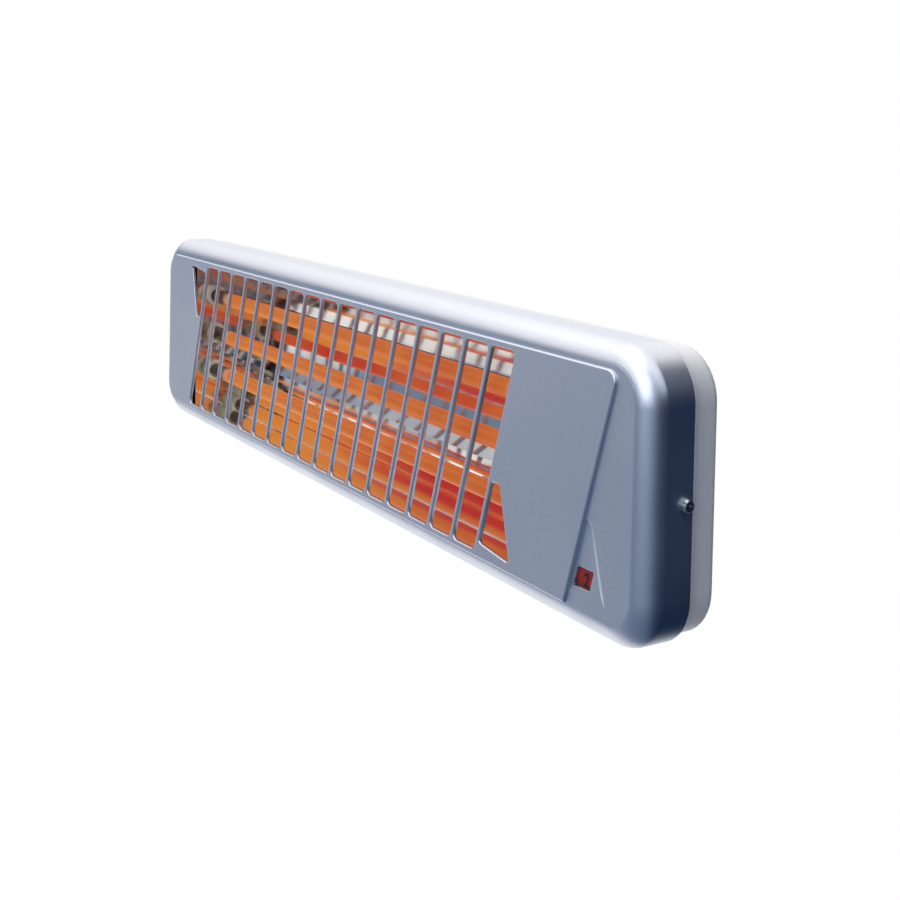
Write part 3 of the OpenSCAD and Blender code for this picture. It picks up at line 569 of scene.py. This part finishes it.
def makeCoil(name):
    size = inMetres(coil)
    low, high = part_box("heating_coil_" + name)
    centre = (low + high) / 2
    turnR = (high.z - low.z) / 2 - size["wireR"]
    turns = round((high.x - low.x - 2 * size["coldEnd"]) / size["pitch"])
    deselectAll()
    bpy.ops.mesh.primitive_circle_add(
        vertices=coil["sides"], radius=size["wireR"], fill_type="NOTHING",
        location=(0, turnR, 0), rotation=(0, math.radians(90), 0))
    spiral = bpy.context.object
    spiral.name = spiral.data.name = "coil" + name.capitalize()
    spiral.rotation_euler = (0, 0, 0)
    applyPlace(spiral)
    # wound about X and drawn along it
    addModifier(
        spiral, "SCREW", axis="X", screw_offset=size["pitch"], angle=math.radians(360),
        iterations=turns, steps=coil["steps"], render_steps=coil["steps"], use_smooth_shade=True)
    openMesh(spiral, "VERT", "SELECT")
    bpy.ops.mesh.fill_holes(sides=coil["sides"])
    bpy.ops.mesh.normals_make_consistent(inside=False)
    bpy.ops.transform.translate(value=(low.x + size["coldEnd"], centre.y, centre.z))
    closeMesh()
    for start, end in ((low.x, low.x + size["coldEnd"]), (high.x - size["coldEnd"], high.x)):
        place = ((start + end) / 2, centre.y, centre.z)
        tail = rodAlongX(place, size["tailR"], end - start, coil["tailSides"])
        applyPlace(tail)
        activate(spiral)
        tail.select_set(True)
        bpy.ops.object.join()
    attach(spiral, "heater")
    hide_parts("heating_coil_" + name)
    return spiral


# numbers on the drum

numbers = dict(
    shown=2,
    count=4,
    height=6.6,
    heightShare=0.7,  # of a text's size
    bold=0.22,
    thick=3,
    join=0.005,  # a text's faces come apart, and are joined first
    proud=0.12,
    sunk=0.2,
    lean=10,  # degrees
    aside=-0.45,  # from the drum's centre
    below=1.7,
    toolSides=96,
    toolW=30,
)


def makeNumber(value):
    size = inMetres(numbers)
    low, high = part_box("indicator_drum")
    centre = (low + high) / 2
    drumR = (high.z - low.z) / 2
    deselectAll()
    bpy.ops.object.text_add(location=(0, 0, 0))
    words = bpy.context.object
    words.data.body = str(value)
    words.data.size = size["height"] / numbers["heightShare"]
    words.data.align_x = "CENTER"
    words.data.align_y = "CENTER"
    words.data.shear = math.tan(math.radians(numbers["lean"]))
    words.data.offset = size["bold"]
    words.data.extrude = size["thick"]
    bpy.ops.object.convert(target="MESH")
    digit = bpy.context.object
    digit.name = digit.data.name = "number" + str(value)
    digit.rotation_euler = (math.radians(90), 0, 0)
    digit.location = (centre.x + size["aside"], low.y, centre.z - size["below"])
    applyPlace(digit)
    openMesh(digit, "VERT", "SELECT")
    bpy.ops.mesh.remove_doubles(threshold=size["join"])
    bpy.ops.mesh.normals_make_consistent(inside=False)
    closeMesh()
    # cut to a thin skin between two rods about the drum's axis
    outerR, innerR = drumR + size["proud"], drumR - size["sunk"]
    for radius, operation in ((outerR, "INTERSECT"), (innerR, "DIFFERENCE")):
        combine(digit, rodAlongX(centre, radius, size["toolW"], numbers["toolSides"]), operation)
    turn = (value - numbers["shown"]) * math.tau / numbers["count"]
    openMesh(digit, "VERT", "SELECT")
    bpy.ops.transform.rotate(value=turn, orient_axis="X", center_override=centre)
    closeMesh()
    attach(digit, "indicator")
    return digit


# finishes

noise = dict(
    low=0.3,  # most of a noise lies between these
    high=0.7,
    fineDetail=2.0,
    broad=18,
    broadDetail=3.0,
    rippleH=0.1,
)


def newFinish(name):
    finish = bpy.data.materials.new(name)
    finish.use_nodes = True
    nodes, links = finish.node_tree.nodes, finish.node_tree.links
    return finish, nodes, links, nodes["Principled BSDF"]


def dress(piece, finish):
    piece.data.materials.clear()
    piece.data.materials.append(finish)


def times(nodes, links, first, second):
    node = nodes.new("ShaderNodeMath")
    node.operation = "MULTIPLY"
    links.new(first, node.inputs[0])
    if isinstance(second, bpy.types.NodeSocket):
        links.new(second, node.inputs[1])
    else:
        node.inputs[1].default_value = second
    return node.outputs["Value"]


def mixColours(nodes, links, amount, base, top):
    node = nodes.new("ShaderNodeMix")
    node.data_type = "RGBA"
    links.new(amount, node.inputs["Factor"])
    for colour, socket in ((base, node.inputs["A"]), (top, node.inputs["B"])):
        if isinstance(colour, bpy.types.NodeSocket):
            links.new(colour, socket)
        else:
            socket.default_value = (*colour, 1)
    return node.outputs["Result"]


def speckle(nodes, links, scale, detail=noise["fineDetail"], stretch=(1, 1, 1)):
    place = nodes.new("ShaderNodeTexCoord")
    turn = nodes.new("ShaderNodeMapping")
    turn.inputs["Scale"].default_value = stretch
    grain = nodes.new("ShaderNodeTexNoise")
    grain.inputs["Scale"].default_value = scale
    grain.inputs["Detail"].default_value = detail
    links.new(place.outputs["Object"], turn.inputs["Vector"])
    links.new(turn.outputs["Vector"], grain.inputs["Vector"])
    return grain.outputs["Fac"]


def between(nodes, links, value, low, high):
    ramp = nodes.new("ShaderNodeMapRange")
    ramp.inputs["From Min"].default_value = noise["low"]
    ramp.inputs["From Max"].default_value = noise["high"]
    ramp.inputs["To Min"].default_value = low
    ramp.inputs["To Max"].default_value = high
    links.new(value, ramp.inputs["Value"])
    return ramp.outputs["Result"]


def addRipple(nodes, links, skin, height, strength, distance):
    ripple = nodes.new("ShaderNodeBump")
    ripple.inputs["Strength"].default_value = strength
    ripple.inputs["Distance"].default_value = distance * mm
    links.new(height, ripple.inputs["Height"])
    links.new(ripple.outputs["Normal"], skin.inputs["Normal"])


def surfaceFinish(name, light, deep, roughness, grain, bump, metallic=0, stretch=(1, 1, 1)):
    finish, nodes, links, skin = newFinish(name)
    fine = speckle(nodes, links, grain, stretch=stretch)
    broad = speckle(nodes, links, noise["broad"], noise["broadDetail"])
    colour = mixColours(nodes, links, between(nodes, links, fine, 0, 1), light, deep)
    links.new(colour, skin.inputs["Base Color"])
    links.new(between(nodes, links, broad, *roughness), skin.inputs["Roughness"])
    skin.inputs["Metallic"].default_value = metallic
    addRipple(nodes, links, skin, fine, bump, noise["rippleH"])
    return finish


glow = dict(
    front=(0.47, 0.085, 0.012),
    golden=(0.64, 0.21, 0.022),  # in the left half, most of all along the lower edge, where it is a painted highlight
    goldenX=(140, -160),  # from where it begins to where it is full
    paintedHighlightZ=(1, -4.2),  # the painted highlight's band, from the tube's axis
    goldenShare=0.4,
    # painted reflection: the deep red glow on the tubes' backs, which the reflector shows as red bands
    back=(0.44, 0.018, 0.016),
    backY=1.5,
    paintedReflectionOchre=(0.66, 0.20, 0.03),  # painted reflection colour for the back of the bottom tube's left half
    paintedReflectionOchreX=(60, -120),
    mottle=55,
    mottleStretch=(0.6, 1, 1),
    mottleDetail=3.0,
    mottleShare=0.35,
    # ochre patches on the backs of the top and middle tubes, a painted reflection
    paintedReflectionPatches=14,
    patchStretch=(1, 0.2, 0.2),
    patchShare=0.5,
    strength=1.0,
    coldEnd=44,
    fade=16,
    clear=(0.80, 0.74, 0.66),  # the cold ends
    dark=(0.03, 0.012, 0.008),  # under the glow
    roughness=0.3,
    ior=1.3,
)


def glowingQuartz(name):
    # the side away from the viewer glows deep red only so that the reflector shows it: a painted
    # reflection
    finish, nodes, links, skin = newFinish("glowingQuartz" + name.capitalize())
    low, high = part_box("quartz_tube_" + name)
    centre = (low + high) / 2
    start, end = low.x + glow["coldEnd"] * mm, high.x - glow["coldEnd"] * mm
    fade = glow["fade"] * mm
    place = nodes.new("ShaderNodeTexCoord")
    split = nodes.new("ShaderNodeSeparateXYZ")
    links.new(place.outputs["Object"], split.inputs["Vector"])

    def ramp(axis, first, last):
        node = nodes.new("ShaderNodeMapRange")
        node.interpolation_type = "SMOOTHSTEP"
        node.inputs["From Min"].default_value = first
        node.inputs["From Max"].default_value = last
        links.new(split.outputs[axis], node.inputs["Value"])
        return node.outputs["Result"]

    def share(first, second):
        return times(nodes, links, first, second)

    def over(amount, base, top):
        return mixColours(nodes, links, amount, base, top)

    def spots(scale, detail, stretch):
        return between(nodes, links, speckle(nodes, links, scale, detail, stretch), 0, 1)

    hot = share(ramp("X", start - fade, start), ramp("X", end + fade, end))
    mottle = spots(glow["mottle"], glow["mottleDetail"], glow["mottleStretch"])
    leftward = ramp("X", *(x * mm for x in glow["goldenX"]))
    # painted highlight: golden along the lower edge of the left half
    paintedLowerHighlight = ramp("Z", *(centre.z + z * mm for z in glow["paintedHighlightZ"]))
    front = over(share(mottle, glow["mottleShare"]), glow["front"], glow["golden"])
    front = over(share(leftward, glow["goldenShare"]), front, glow["golden"])
    front = over(share(paintedLowerHighlight, leftward), front, glow["golden"])
    # painted reflection on the backs: ochre over the bottom tube's left half, ochre patches on the others
    if name == "bottom":
        paintedOchreShare = ramp("X", *(x * mm for x in glow["paintedReflectionOchreX"]))
    else:
        paintedReflectionPatches = spots(glow["paintedReflectionPatches"], noise["fineDetail"], glow["patchStretch"])
        paintedOchreShare = share(paintedReflectionPatches, glow["patchShare"])
    back = over(paintedOchreShare, glow["back"], glow["paintedReflectionOchre"])
    # the back half glows in the painted reflection colours
    behind = ramp("Y", centre.y - glow["backY"] * mm, centre.y + glow["backY"] * mm)
    links.new(over(behind, front, back), skin.inputs["Emission Color"])
    links.new(share(hot, glow["strength"]), skin.inputs["Emission Strength"])
    links.new(over(hot, glow["clear"], glow["dark"]), skin.inputs["Base Color"])
    skin.inputs["Roughness"].default_value = glow["roughness"]
    skin.inputs["IOR"].default_value = glow["ior"]
    clear = nodes.new("ShaderNodeMath")
    clear.operation = "SUBTRACT"
    clear.inputs[0].default_value = 1
    links.new(hot, clear.inputs[1])
    links.new(clear.outputs["Value"], skin.inputs["Transmission Weight"])
    return finish


lens = dict(
    tint=(0.90, 0.42, 0.36),
    ior=1.49,
    grain=400,
    roughness=(0.02, 0.06),
)


def redLens():
    finish, nodes, links, skin = newFinish("redLens")
    skin.inputs["Base Color"].default_value = (*lens["tint"], 1)
    skin.inputs["Transmission Weight"].default_value = 1
    skin.inputs["IOR"].default_value = lens["ior"]
    grain = speckle(nodes, links, lens["grain"])
    links.new(between(nodes, links, grain, *lens["roughness"]), skin.inputs["Roughness"])
    return finish


mirror = dict(
    colour=(0.93, 0.92, 0.90),
    roughness=(0.05, 0.12),
    haze=30,
    hazeStretch=(0.2, 1, 1),
    waves=45,
    waveDetail=1.0,
    waveStretch=(0.35, 1, 1),
    waveStrength=0.35,
    waveH=0.8,
)


def polishedReflector():
    # rolled lengthwise, and slightly wavy
    finish, nodes, links, skin = newFinish("polishedReflector")
    skin.inputs["Base Color"].default_value = (*mirror["colour"], 1)
    skin.inputs["Metallic"].default_value = 1
    haze = speckle(nodes, links, mirror["haze"], stretch=mirror["hazeStretch"])
    links.new(between(nodes, links, haze, *mirror["roughness"]), skin.inputs["Roughness"])
    waves = speckle(nodes, links, mirror["waves"], mirror["waveDetail"], mirror["waveStretch"])
    addRipple(nodes, links, skin, waves, mirror["waveStrength"], mirror["waveH"])
    return finish


# by material slot, and the grain runs between the light and the deep colour
surfaces = {
    "silver_paint": dict(
        name="silverBluePaint", light=(0.65, 0.71, 0.83), deep=(0.53, 0.59, 0.71),
        roughness=(0.35, 0.42), grain=2600, bump=0.2, metallic=1),
    "grey_paint": dict(
        name="paleGreyPaint", light=(0.74, 0.78, 0.84), deep=(0.66, 0.70, 0.76),
        roughness=(0.34, 0.44), grain=1800, bump=0.15, metallic=0.1),
    "plain_aluminium": dict(
        name="rolledAluminium", light=(0.86, 0.80, 0.74), deep=(0.78, 0.71, 0.64),
        roughness=(0.05, 0.12), grain=700, bump=0.1, metallic=1, stretch=(1, 1, 0.06)),
    "hot_wire": dict(
        name="hotWire", light=(0.5, 0.3, 0.2), deep=(0.4, 0.22, 0.15),
        roughness=(0.4, 0.5), grain=900, bump=0.1, metallic=1),
    "cap_ceramic": dict(
        name="capCeramic", light=(0.92, 0.86, 0.68), deep=(0.80, 0.74, 0.55),
        roughness=(0.38, 0.5), grain=700, bump=0.3),
    "zinc_steel": dict(
        name="zincSteel", light=(0.62, 0.63, 0.65), deep=(0.48, 0.49, 0.52),
        roughness=(0.26, 0.42), grain=160, bump=0.15, metallic=1),
    "dark_steel": dict(
        name="darkScrew", light=(0.52, 0.56, 0.56), deep=(0.36, 0.40, 0.40),
        roughness=(0.12, 0.25), grain=900, bump=0.1, metallic=1),
    "brass": dict(
        name="brassPart", light=(0.78, 0.58, 0.24), deep=(0.66, 0.46, 0.17),
        roughness=(0.2, 0.38), grain=500, bump=0.1, metallic=1),
    "fibre": dict(
        name="fibreWasher", light=(0.30, 0.14, 0.07), deep=(0.20, 0.09, 0.05),
        roughness=(0.6, 0.75), grain=1200, bump=0.4),
    "red_plastic": dict(
        name="redDrum", light=(0.85, 0.095, 0.055), deep=(0.75, 0.08, 0.045),
        roughness=(0.3, 0.42), grain=900, bump=0.1),
    "white_nylon": dict(
        name="whiteNylon", light=(0.84, 0.84, 0.82), deep=(0.76, 0.76, 0.74),
        roughness=(0.32, 0.45), grain=900, bump=0.1),
    "ivory_plastic": dict(
        name="ivoryPlastic", light=(0.78, 0.73, 0.60), deep=(0.70, 0.65, 0.53),
        roughness=(0.38, 0.5), grain=900, bump=0.1),
    "black_rubber": dict(
        name="blackRubber", light=(0.035, 0.035, 0.037), deep=(0.02, 0.02, 0.022),
        roughness=(0.5, 0.65), grain=900, bump=0.2),
}

# the leads' sleeves
sleeves = dict(
    red=(0.50, 0.06, 0.05),
    black=(0.035, 0.035, 0.035),
    grey=(0.30, 0.30, 0.31),
    brown=(0.20, 0.085, 0.035),
    blue=(0.04, 0.13, 0.45),
    green=(0.16, 0.40, 0.08),
)

sleeveDeepShare = 0.72  # of the light colour
sleeveSurface = dict(
    roughness=(0.4, 0.55),
    grain=1500,
    bump=0.3,
)


def sleeveFinish(name, colour):
    deep = [channel * sleeveDeepShare for channel in colour]
    return surfaceFinish(name + "Sleeve", colour, deep, **sleeveSurface)


def makeFinishes():
    finishes = {slot: surfaceFinish(**surface) for slot, surface in surfaces.items()}
    for name, colour in sleeves.items():
        finishes[name + "_insulation"] = sleeveFinish(name, colour)
    finishes["clear_lens"] = redLens()
    finishes["polished_aluminium"] = polishedReflector()
    return finishes


def paintCadPieces(finishes):
    for part in frame["record"]["subparts"]:
        node = frame["nodes"][part["node"]]
        if part["material_slot"] == "quartz":
            finish = glowingQuartz(part["node"].split("_")[-1])
        else:
            finish = finishes[part["material_slot"]]
        for slot in node.material_slots:
            slot.material = finish


# the scene

makeCamera()
print("camera stands")
makeWorld()
makeLamps()
makeFloor()
print("studio ready")

finishes = makeFinishes()
paintCadPieces(finishes)
print("CAD pieces painted")

dress(makeFrontCover(), finishes["silver_paint"])
print("front cover made")
for name in ("top", "middle", "bottom"):
    dress(makeCoil(name), finishes["hot_wire"])
print("coils wound")
for value in range(numbers["count"]):
    dress(makeNumber(value), finishes["black_rubber"])
print("numbers printed")

bpy.context.scene.view_settings.view_transform = "Standard"
